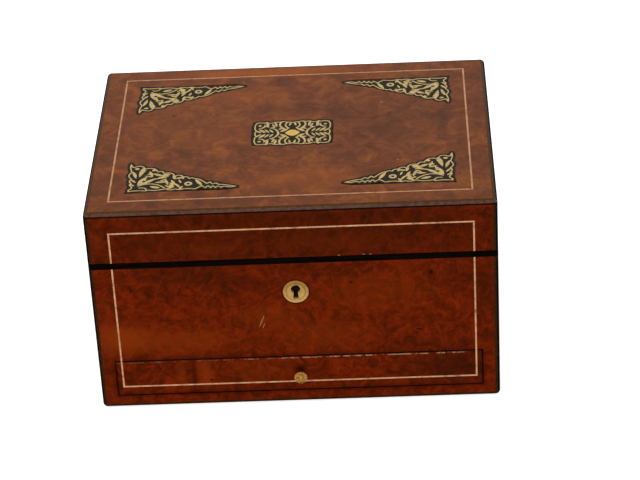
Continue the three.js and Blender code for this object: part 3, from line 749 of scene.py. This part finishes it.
def leaf(u, v, angle, length, width, bend=0.0):
    """A pointed leaf that grows from (u, v)."""
    local = turned(u, v, angle)

    def field(U, V):
        along, across = local(U, V)
        t = np.clip(along / length, 0, 1)
        half = width / 2 * np.sin(math.pi * t**0.9)
        beyond = np.maximum(np.maximum(-along, along - length), 0)
        return np.abs(across - bend * length * t * t) - half + beyond

    return field


def disc(u, v, ru, rv=None):
    rv = rv or ru
    return lambda U, V: (np.hypot((U - u) / ru, (V - v) / rv) - 1) * min(ru, rv)


def stroke(points, width0, width1):
    """A curved line through three points, from one width to another."""
    (u0, v0), (um, vm), (u1, v1) = points

    def field(U, V):
        best = np.full(U.shape, np.inf)
        for t in np.linspace(0, 1, CURVE_STEPS):
            u = (1 - t) ** 2 * u0 + 2 * t * (1 - t) * um + t * t * u1
            v = (1 - t) ** 2 * v0 + 2 * t * (1 - t) * vm + t * t * v1
            best = np.minimum(best, np.hypot(U - u, V - v) - (width0 + (width1 - width0) * t) / 2)
        return best

    return field


def crescent(u, v, radius, start, end, width):
    """Part of a ring, thickest half way along."""

    def field(U, V):
        best = np.full(U.shape, np.inf)
        for t in np.linspace(0, 1, CURVE_STEPS):
            angle = math.radians(start + (end - start) * t)
            half = width / 2 * (0.25 + 0.75 * math.sin(math.pi * t))
            u1, v1 = u + radius * math.cos(angle), v + radius * math.sin(angle)
            best = np.minimum(best, np.hypot(U - u1, V - v1) - half)
        return best

    return field


print("motif fields ready")

# %% [markdown]
# ## Sawn brass: outlines and sawing
# The plates' edges are scalloped, so an outline is a list of points with a bulge for the arc to the next
# one. The zero line of a field is found cell by cell and linked into closed loops, which is all that a
# saw needs.

# %% Outlines and sawing
BULGE_STEPS = 8


def scalloped(points):
    """An outline of arcs: the arc from each (u, v, bulge) to the next point swells out by the bulge."""
    outline = []
    for (u0, v0, bulge), (u1, v1, _) in zip(points, points[1:] + points[:1]):
        chord = math.hypot(u1 - u0, v1 - v0)
        for k in range(BULGE_STEPS):
            t = k / BULGE_STEPS
            out = 4 * t * (1 - t) * bulge / chord
            outline.append((u0 + (u1 - u0) * t + (v1 - v0) * out, v0 + (v1 - v0) * t - (u1 - u0) * out))
    return outline


def inside_outline(outline):
    """Distance to an outline, below zero inside."""

    def field(U, V):
        distance = np.full(U.shape, np.inf)
        inside = np.zeros(U.shape, bool)
        for (u0, v0), (u1, v1) in zip(outline, outline[1:] + outline[:1]):
            du, dv = u1 - u0, v1 - v0
            t = np.clip(((U - u0) * du + (V - v0) * dv) / (du * du + dv * dv), 0, 1)
            distance = np.minimum(distance, np.hypot(U - u0 - t * du, V - v0 - t * dv))
            if dv:
                inside ^= ((v0 > V) != (v1 > V)) & (U < u0 + (V - v0) * du / dv)
        return np.where(inside, -distance, distance)

    return field


def blurred(field, passes=2):
    for _ in range(passes):
        padded = np.pad(field, 1, mode="edge")
        near = padded[:-2, 1:-1] + padded[2:, 1:-1] + padded[1:-1, :-2] + padded[1:-1, 2:]
        field = (4 * field + near) / 8
    return field


def trace(field, U, V):
    """Closed loops along the zero line, each a list of points, walked cell by cell."""
    inside = field < 0
    corners = inside[:-1, :-1].astype(int) + inside[:-1, 1:] + inside[1:, 1:] + inside[1:, :-1]
    links = {}
    for j, i in zip(*np.nonzero((corners > 0) & (corners < 4))):
        ring = [(j, i), (j, i + 1), (j + 1, i + 1), (j + 1, i)]
        sides = [(ring[k], ring[(k + 1) % 4]) for k in range(4)]
        sides = [side for side in sides if inside[side[0]] != inside[side[1]]]
        crossed = [(tuple(sorted(side)), inside[side[0]]) for side in sides]
        for k, (key, leaving) in enumerate(crossed):
            if leaving:
                links[key] = crossed[(k + 1) % len(crossed)][0]
    loops = []
    while links:
        start, key = links.popitem()
        loop = [start]
        while key != start:
            loop.append(key)
            key = links.pop(key)
        loops.append([crossing(field, U, V, *pair) for pair in loop])
    return loops


def crossing(field, U, V, first, second):
    """Where the zero line crosses the side of a cell."""
    t = field[first] / (field[first] - field[second])
    return (U[first] + (U[second] - U[first]) * t, V[first] + (V[second] - V[first]) * t)


print("sawing tools ready")

# %% [markdown]
# ## Sawn brass: the patterns
# A corner plate is a long triangle, drawn as a brass line with brass leaves on black inside it. From the
# square corner grow a stem with an eye, two big leaves and a lens, then come two fleurs, a flower and a
# zigzag feather that runs out to the tip. u runs along a corner plate's long leg, v along its short one,
# in millimetres.

# %% Corner pattern
CORNER_OUTLINE = [
    (3, 2.2, -0.8), (16.1, 2.4, 0), (17.8, 3.6, 1.0), (28.4, 3.9, 0.2), (30.2, 4.4, 1.3), (37.8, 3.8, 0.9),
    (44, 3.8, -0.4), (52.4, 2.9, 0), (56.9, 7, 0), (60.1, 3.9, 0), (61.6, 6.7, 0), (63.8, 3.6, 0),
    (65.2, 6.3, 0), (67.4, 3.4, 0), (69, 6, 0), (71.4, 3.8, 0), (73.6, 5.5, 0), (77.8, 3.9, 0),
    (83, 5.2, 0), (76, 8, 0.2),
    (69.8, 9.2, 0), (67.4, 11.8, 0), (65, 10.3, 0), (63, 13.6, 0), (60.6, 11.5, 0), (56.4, 16.6, 0.5),
    (51.4, 19.2, 0.9), (47.4, 19.6, 1.2), (43.2, 22.2, 1.9),
    (36.5, 23.8, 2.4), (28.4, 28.6, 1.6), (23.6, 31.2, 2.8), (13.8, 36.2, 3.2), (4.8, 38.8, -0.2),
    (2.6, 44.4, 0.4), (2.2, 36.4, 0), (3.4, 31, 2.0), (3.8, 21, 1.3), (4, 14.4, 0.9), (3.8, 10.6, -0.3),
    (4.8, 7.6, -0.2), (2.8, 5.2, 0.2),
]
FLOWER = (46.9, 11.4)
EYE = (7.6, 36)


def everywhere(U, V):
    """A field that is inside at every point."""
    return np.full(U.shape, -100.0)


def corner_motifs():
    """The brass that stands inside a corner plate's outline."""
    stem = [
        leaf(4.6, 32.4, -72, 12.6, 2.6), leaf(12.8, 38, -101, 15, 3.6), leaf(14.6, 34.6, -122, 9, 2.0),
        disc(*EYE, 1.7, 1.3), leaf(3.8, 20.6, -52, 7, 1.8), leaf(3.6, 13.6, -40, 5, 1.6),
    ]
    leaves = [
        leaf(9.1, 11.2, 63, 15, 4.4), leaf(10.4, 11.4, 38, 16, 3.2),
        stroke([(20.6, 19.2), (25, 21.4), (30, 21.4)], 1.3, 1.2),
        stroke([(10, 10.2), (20, 17.4), (29.6, 6.6)], 1.0, 1.2), leaf(18.6, 9.3, -20, 8.4, 3.0),
        stroke([(10.8, 7.4), (16.4, 8.6), (16.4, 3.4)], 0.9, 1.0),
    ]
    scrolls = [
        leaf(17.2, 31.8, -72, 9, 2.4), leaf(20.1, 28, -27, 9, 2.8), disc(20.4, 33.2, 1.5),
        disc(30.2, 25.2, 3.0, 2.2), leaf(35.4, 25.4, -80, 7.5, 2.4), leaf(36.6, 19.4, 14, 8, 2.2),
        leaf(41, 22.6, -62, 5, 1.8), leaf(24, 21.6, 20, 8, 1.8), leaf(15.4, 27.4, 4, 6, 2.0),
        leaf(22, 14.8, 4, 9.4, 2.2), leaf(13.6, 25.2, -18, 7, 1.8), leaf(25.4, 16.6, 30, 6, 1.6),
    ]
    fleurs = [
        leaf(29.2, 19.6, -72, 10, 2.2), leaf(33.9, 18, -66, 9, 2.2), disc(34.6, 9.6, 1.7, 2.3),
        leaf(30.4, 4.4, 28, 8, 2.0), leaf(37.2, 12.4, -58, 9, 2.0), leaf(29.6, 10.4, -40, 6, 1.6),
        leaf(51.8, 18, -62, 12, 2.8), leaf(39.6, 18, -70, 6, 1.6), leaf(40.4, 3.4, 62, 6, 1.9),
        leaf(32.4, 13.6, -20, 6.5, 1.6),
    ]
    return stem + leaves + scrolls + fleurs


def corner_cuts():
    """What is sawn out of a corner plate: each cut, with what stays standing in it."""
    dots = [disc(13.7, 16.8, 1.3), disc(32.9, 24.4, 1.2), disc(24.9, 17.6, 1.1, 0.7), disc(*FLOWER, 1.25)]
    veins = [
        stroke([(8.3, 9), (8.9, 20), (8.3, 34)], 1.6, 1.3),
        stroke([(9.8, 19.6), (11.6, 22.6), (14.4, 24)], 0.9, 1.2),
    ]
    return [(everywhere, corner_motifs() + [disc(*FLOWER, 3.0)])] + [(cut, []) for cut in veins + dots]


print(len(corner_motifs()), "motifs in a corner plate")

# %% [markdown]
# ## Sawn brass: the middle plate
# The middle plate is nearly a rectangle with eyes in its corners. A fishbone of small leaves runs in from
# each end and stops at a crescent, and scrolls curl round the oval in the middle. Only the quarter with
# positive x and y is drawn.

# %% Middle pattern
MIDDLE_QUARTER = [
    (29, 0, 0.2), (27.9, 4.6, 0.5), (29, 8.5, 0.4), (28.6, 14.6, 0.9), (25.2, 17.6, 0.2), (21.2, 17, 0),
    (19.8, 18.5, 0), (18.2, 16.8, 0), (15.4, 16.6, 0.9), (9.8, 17.6, 0.9), (4.6, 17.4, 0.3),
]
MIDDLE_WAIST = 16.4


def middle_outline():
    """The quarter outline, mirrored into the whole."""
    bulges = [bulge for _, _, bulge in MIDDLE_QUARTER]
    quarter = [(x, y) for x, y, _ in MIDDLE_QUARTER]
    half = quarter + [(0, MIDDLE_WAIST)] + [(-x, y) for x, y in quarter[:0:-1]]
    whole = half + [(-x, -y) for x, y in half]
    swells = bulges + bulges[::-1]
    return [(x, y, swells[i % len(swells)]) for i, (x, y) in enumerate(whole)]


def middle_motifs():
    """The brass in a quarter of the middle plate."""
    fan = [
        crescent(19.6, 0, 8.8, 112, 248, 1.8), leaf(14.4, 0.9, 58, 6.4, 1.7), leaf(17.4, 0.9, 54, 7, 1.8),
        leaf(20.4, 0.9, 50, 8.4, 2.4), leaf(23.6, 0.9, 44, 6.4, 1.8), disc(24.9, 12.3, 1.3, 1.1),
        crescent(24.9, 12.3, 3.9, 150, 285, 1.5), leaf(19.6, 17.8, -98, 8.4, 2.2),
        leaf(17.6, 9.4, 40, 4.6, 1.6),
    ]
    scrolls = [
        stroke([(3.6, 17), (7.6, 12.2), (3.0, 7.4)], 1.0, 1.4),
        stroke([(8.2, 17.6), (12, 12.4), (6.6, 6.4)], 1.1, 2.0),
        leaf(9.6, 1.7, 142, 8.6, 2.6), leaf(13.4, 17.4, -100, 8, 2.0), leaf(1.4, 16.2, -78, 5.6, 1.7),
        leaf(12.8, 9.8, -24, 5.4, 1.6), leaf(11, 5.8, 158, 5.6, 1.8), leaf(15.6, 14.4, -112, 6, 1.6),
    ]
    return fan + scrolls


def middle_cuts():
    """What is sawn out of the middle plate: all but its motifs."""
    return [(everywhere, middle_motifs())]


print(len(middle_motifs()), "motifs in a quarter of the middle plate")

# %% [markdown]
# ## Sawn brass: from pattern to plates
# The traced loops become a flat curve whose fill leaves the inner loops open, and a small extrusion gives
# the sheet its thickness. The dark mastic is the same outline grown by two millimetres. Brass and mastic
# stand a hair above the veneer, so that their own smooth outline shows, not the straight-sided pocket
# under them.

# %% Plates
BRASS_LINE = 1.0
MASTIC_BORDER = 2.0
MASTIC_TOP = height + 0.03
BRASS_TOP = height + 0.06
PLATE_THICK = 0.3
CORNER_X = 122.0
CORNER_Y = 83.5


def slab(name, loops, low, high):
    """A flat solid between two levels whose outline and holes are loops in x and y."""
    curve = bpy.data.curves.new(name, "CURVE")
    curve.dimensions = "2D"
    curve.fill_mode = "BOTH"
    curve.extrude = (high - low) / 2
    for loop in loops:
        spline = curve.splines.new("POLY")
        spline.points.add(len(loop) - 1)
        spline.points.foreach_set("co", [number for x, y in loop for number in (x, y, 0, 1)])
        spline.use_cyclic_u = True
    draft = new_piece(name, curve)
    view = bpy.context.evaluated_depsgraph_get()
    mesh = bpy.data.meshes.new_from_object(draft.evaluated_get(view))
    bpy.data.objects.remove(draft)
    shape = bmesh.new()
    shape.from_mesh(mesh)
    bmesh.ops.remove_doubles(shape, verts=shape.verts, dist=0.001)
    bmesh.ops.translate(shape, vec=(0, 0, (low + high) / 2), verts=shape.verts)
    bmesh.ops.scale(shape, vec=(MM, MM, MM), verts=shape.verts)
    bmesh.ops.recalc_face_normals(shape, faces=shape.faces)
    shape.to_mesh(mesh)
    shape.free()
    return new_piece(name, mesh)


def sawn_loops(points, cuts, fold):
    """Loops of the brass and of the mastic round it. A folded pattern is one quarter, mirrored both ways."""
    us, vs, _ = zip(*points)
    margin = 2 * MASTIC_BORDER
    U, V = np.meshgrid(
        np.arange(min(us) - margin, max(us) + margin, GRID),
        np.arange(min(vs) - margin, max(vs) + margin, GRID),
    )
    at = (np.abs(U), np.abs(V)) if fold else (U, V)
    sheet = inside_outline(scalloped(points))(U, V)
    holes = np.full(U.shape, np.inf)
    for cut, stays in cuts:
        hole = cut(*at)
        for stay in stays:
            hole = np.maximum(hole, -stay(*at))
        holes = np.minimum(holes, hole)
    brass = np.maximum(sheet, -np.maximum(holes, sheet + BRASS_LINE))
    return trace(blurred(brass), U, V), trace(blurred(sheet - MASTIC_BORDER), U, V)


brass = Finish("aged_brass", Metallic=0.35, Roughness=0.4)
tarnish = brass.noise(0.35, 4, 0.6)
worn_brass = [(0.3, srgb(184, 154, 98)), (0.52, srgb(218, 188, 122)), (0.72, srgb(240, 194, 114))]
brass.set(Base_Color=brass.ramp(tarnish, worn_brass))
mastic = Finish("black_mastic", Roughness=0.35, Specular_IOR_Level=0.12)
pores = mastic.noise(0.8, 3, 0.6)
mastic.set(Base_Color=mastic.ramp(pores, [(0.3, srgb(22, 19, 11)), (0.7, srgb(42, 37, 24))]))


def inlay(place, brass_loops, mastic_loops):
    ground = slab(f"mastic_{place}", mastic_loops, height - PLATE_THICK, MASTIC_TOP)
    settle(ground, "lid", "ebony", mastic, f"inlay_ground_{place}")
    plate = slab(f"sawn_brass_{place}", brass_loops, height - PLATE_THICK, BRASS_TOP)
    settle(plate, "lid", "brass", brass, f"inlay_brass_{place}")
    print(place, len(brass_loops), "loops,", len(plate.data.polygons), "faces")


corner_loops = sawn_loops(CORNER_OUTLINE, corner_cuts(), fold=False)
for place, flip_x, flip_y in [
    ("front_left", -1, 1), ("front_right", 1, 1), ("back_left", -1, -1), ("back_right", 1, -1),
]:
    placed = [
        [[(flip_x * (CORNER_X - u), flip_y * (v - CORNER_Y)) for u, v in loop] for loop in loops]
        for loops in corner_loops
    ]
    inlay(place, *placed)
inlay("middle", *sawn_loops(middle_outline(), middle_cuts(), fold=True))

# %% [markdown]
# ## The bright oval
# In the middle of the middle plate sits a small pointed oval of brighter metal, with fine ribs across it.
# It is a grid of points in its own outline, pillowed a little, with a cosine for the ribs.

# %% Oval
OVAL_RIBS = 9
OVAL_RISE = 0.35
OVAL_SHARE = 0.9
OVAL_COLUMNS = 72
OVAL_ROWS = 16
oval_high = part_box("inlay_oval")[1]


def make_oval():
    reach_x = OVAL_SHARE * oval_high.x / MM
    reach_y = OVAL_SHARE * oval_high.y / MM
    shape = bmesh.new()
    rows = []
    for j in range(OVAL_ROWS + 1):
        across = 2 * j / OVAL_ROWS - 1
        row = []
        for i in range(OVAL_COLUMNS + 1):
            along = 2 * i / OVAL_COLUMNS - 1
            wide = reach_y * max(math.cos(along * math.pi / 2), 0) ** 0.8
            pillow = (1 - across**2) * (1 - along**2)
            rib = 0.5 + 0.5 * math.cos(2 * math.pi * OVAL_RIBS * along / 2)
            z = BRASS_TOP + OVAL_RISE * pillow * (0.75 + 0.25 * rib)
            row.append(shape.verts.new(Vector((reach_x * along, wide * across, z)) * MM))
        rows.append(row)
    for lower, upper in zip(rows, rows[1:]):
        for i in range(OVAL_COLUMNS):
            shape.faces.new((lower[i], lower[i + 1], upper[i + 1], upper[i]))
    bmesh.ops.remove_doubles(shape, verts=shape.verts, dist=WELD * MM)
    rim = [side for side in shape.edges if side.is_boundary]
    skirt = bmesh.ops.extrude_edge_only(shape, edges=rim)["geom"]
    for vert in skirt:
        if isinstance(vert, bmesh.types.BMVert):
            vert.co.z = (height - PLATE_THICK) * MM
    bmesh.ops.holes_fill(shape, edges=[side for side in shape.edges if side.is_boundary])
    bmesh.ops.recalc_face_normals(shape, faces=shape.faces)
    mesh = bpy.data.meshes.new("bright_oval")
    shape.to_mesh(mesh)
    shape.free()
    return new_piece("bright_oval", mesh)


gold = Finish("bright_brass", Metallic=0.35, Roughness=0.3)
sheen = gold.noise(0.8, 3, 0.5)
gold.set(Base_Color=gold.ramp(sheen, [(0.3, srgb(226, 172, 66)), (0.7, srgb(250, 208, 112))]))
oval = make_oval()
smooth(oval, 60)
settle(oval, "lid", "gold_brass", gold, "inlay_oval")
print("oval with", OVAL_RIBS, "ribs")

# %% [markdown]
# ## Turned brass
# The keyhole plate is a turned brass disc, faintly domed, with one engraved ring, and the keyhole is sawn
# through it. Both it and the drawer's little knob start as a profile spun round the y axis. The knob's
# face is pressed with a ring of petals: a cosine round the axis lifts and lowers the face.

# %% Turned pieces


def spin(name, centre, profile, steps, ripple=None):
    """Spins a profile of (radius, reach) round an axis that points out of the front."""
    x, y, z = centre
    shape = bmesh.new()
    rings = []
    for radius, reach in profile:
        ring = []
        for i in range(steps):
            angle = 2 * math.pi * i / steps
            r, out = ripple(radius, reach, angle) if ripple else (radius, reach)
            place = Vector((x + r * math.cos(angle), y - out, z + r * math.sin(angle)))
            ring.append(shape.verts.new(place * MM))
        rings.append(ring)
    for inner, outer in zip(rings, rings[1:]):
        for i in range(steps):
            k = (i + 1) % steps
            shape.faces.new((inner[i], inner[k], outer[k], outer[i]))
    shape.faces.new(rings[0])
    shape.faces.new(rings[-1])
    bmesh.ops.recalc_face_normals(shape, faces=shape.faces)
    mesh = bpy.data.meshes.new(name)
    shape.to_mesh(mesh)
    shape.free()
    return new_piece(name, mesh)


def middle_of(node):
    low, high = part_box(node)
    return (low + high) / 2 / MM


print("lathe ready")

# %% [markdown]
# ## Keyhole plate and lock
# The plate is lighter inside its engraved ring, and painted shade darkens it towards its top. The keyhole
# is a round head over a slot that widens to its foot, punched through with a Boolean. The lock behind it
# keeps the frame's solid and gets dull steel with some rust.

# %% Keyhole plate
KEY_HEAD_RADIUS = 3.5
KEY_HEAD_RISE = 2.5
KEY_FOOT_DROP = 5.75
KEY_NECK = 3.25
KEY_FOOT = 4.25
KEY_STEPS = 28
RING_RADII = (6.9, 7.5)


def keyhole(x, z):
    """A round head over a slot that widens to its foot."""
    neck = math.asin(KEY_NECK / 2 / KEY_HEAD_RADIUS)
    head = []
    for i in range(KEY_STEPS + 1):
        angle = neck - math.pi / 2 + 2 * (math.pi - neck) * i / KEY_STEPS
        across, above = KEY_HEAD_RADIUS * math.cos(angle), KEY_HEAD_RADIUS * math.sin(angle)
        head.append((x + across, z + KEY_HEAD_RISE + above))
    foot = z - KEY_FOOT_DROP
    return head + [(x - KEY_FOOT / 2, foot), (x + KEY_FOOT / 2, foot)]


plate_face = Vector((plate_middle.x, -half_y, plate_middle.z))
plate_profile = [
    (plate_reach - 0.4, -1.5), (plate_reach, -1.0), (plate_reach, 0.05), (plate_reach - 0.3, 0.3),
    (7.7, 0.45), (7.5, 0.3), (7.2, 0.3), (7.0, 0.48), (5, 0.58), (2.5, 0.64), (0.5, 0.65),
]
blank = spin("plate_blank", plate_face, plate_profile, 72)
key_punch = prism("key_punch", keyhole(plate_face.x, plate_face.z), -half_y - 5, -half_y + 5, upright=False)
plate = combined("keyhole_plate", blank, key_punch, "DIFFERENCE")
bpy.data.objects.remove(blank)
smooth(plate)
polished = Finish("polished_brass", Metallic=0.4, Roughness=0.4)
wear = polished.noise(0.5, 4, 0.65)
# Painted shade: the plate's colour darkens steadily from its foot to its top.
shade = polished.span(polished.axes[2], plate_face.z - 9, plate_face.z + 10)
light_brass = polished.ramp(wear, [(0.3, srgb(210, 160, 86)), (0.7, srgb(240, 196, 118))])
dark_brass = polished.ramp(wear, [(0.3, srgb(164, 112, 38)), (0.7, srgb(206, 152, 66))])
plate_colour = polished.mix(shade, light_brass, dark_brass)
within = [front_spot(polished, plate_face.x, plate_face.z, r, r, core=0.93) for r in RING_RADII]
plate_colour = polished.mix(polished.math("MULTIPLY", within[0], 0.5), plate_colour, light_brass)
engraved = polished.math("SUBTRACT", within[1], within[0])
plate_colour = tinted(polished, plate_colour, [(engraved, 0.5)], srgb(92, 58, 20))
polished.set(Base_Color=plate_colour)
settle(plate, "case", "brass", polished, "escutcheon")

steel = Finish("dull_steel", Metallic=0.9, Roughness=0.45)
rust = steel.noise(0.4, 4, 0.6)
steel.set(Base_Color=steel.ramp(rust, [(0.35, srgb(44, 38, 34)), (0.7, srgb(96, 92, 88))]))
dress(steel, "lock")
print("keyhole plate and lock")

# %% [markdown]
# ## Knob
# The drawer's knob is small, gilt and worn: a thin neck, a flat head with petals and a button in the
# middle. Its profile is spun and then pressed. The hinges are brass of the same colour, so they share the
# finish.

# %% Knob
KNOB_PETALS = 14
knob_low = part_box("drawer_knob")[0]
knob_middle = middle_of("drawer_knob")
knob_root = Vector((plate_face.x, -half_y, knob_middle.z))
knob_length = -half_y - knob_low.y / MM
KNOB_PROFILE = [
    (2.4, -0.2), (2.4, 0.3), (1.9, 1.2), (2.0, 2.2), (2.6, 3.0), (4.2, 3.4), (4.8, 3.8), (4.95, 4.3),
    (4.8, 4.8), (4.2, 5.1), (3.4, 5.2), (2.6, 5.0), (2.0, 4.9), (1.7, 5.4), (1.3, 6.0), (0.7, 6.4),
    (0.15, knob_length - 0.02),
]


def petals(radius, reach, angle):
    """Presses petals into the rim and face of the head."""
    if reach < 3.2 or radius < 2.2:
        return radius, reach
    wave = math.cos(KNOB_PETALS * angle)
    return radius + 0.2 * wave, reach + 0.35 * wave


knob = spin("brass_knob", knob_root, KNOB_PROFILE, 8 * KNOB_PETALS, petals)
smooth(knob, 50)
gilt = Finish("gilt_brass", Metallic=0.5, Roughness=0.35)
grime = gilt.noise(1.1, 4, 0.7)
gilding = [(0.32, srgb(124, 76, 20)), (0.5, srgb(206, 146, 60)), (0.7, srgb(240, 192, 104))]
gilt.set(Base_Color=gilt.ramp(grime, gilding))
settle(knob, "drawer", "brass", gilt, "drawer_knob")
dress(gilt, *[name for name in nodes if "hinge" in name])
print("knob with", KNOB_PETALS, "petals")
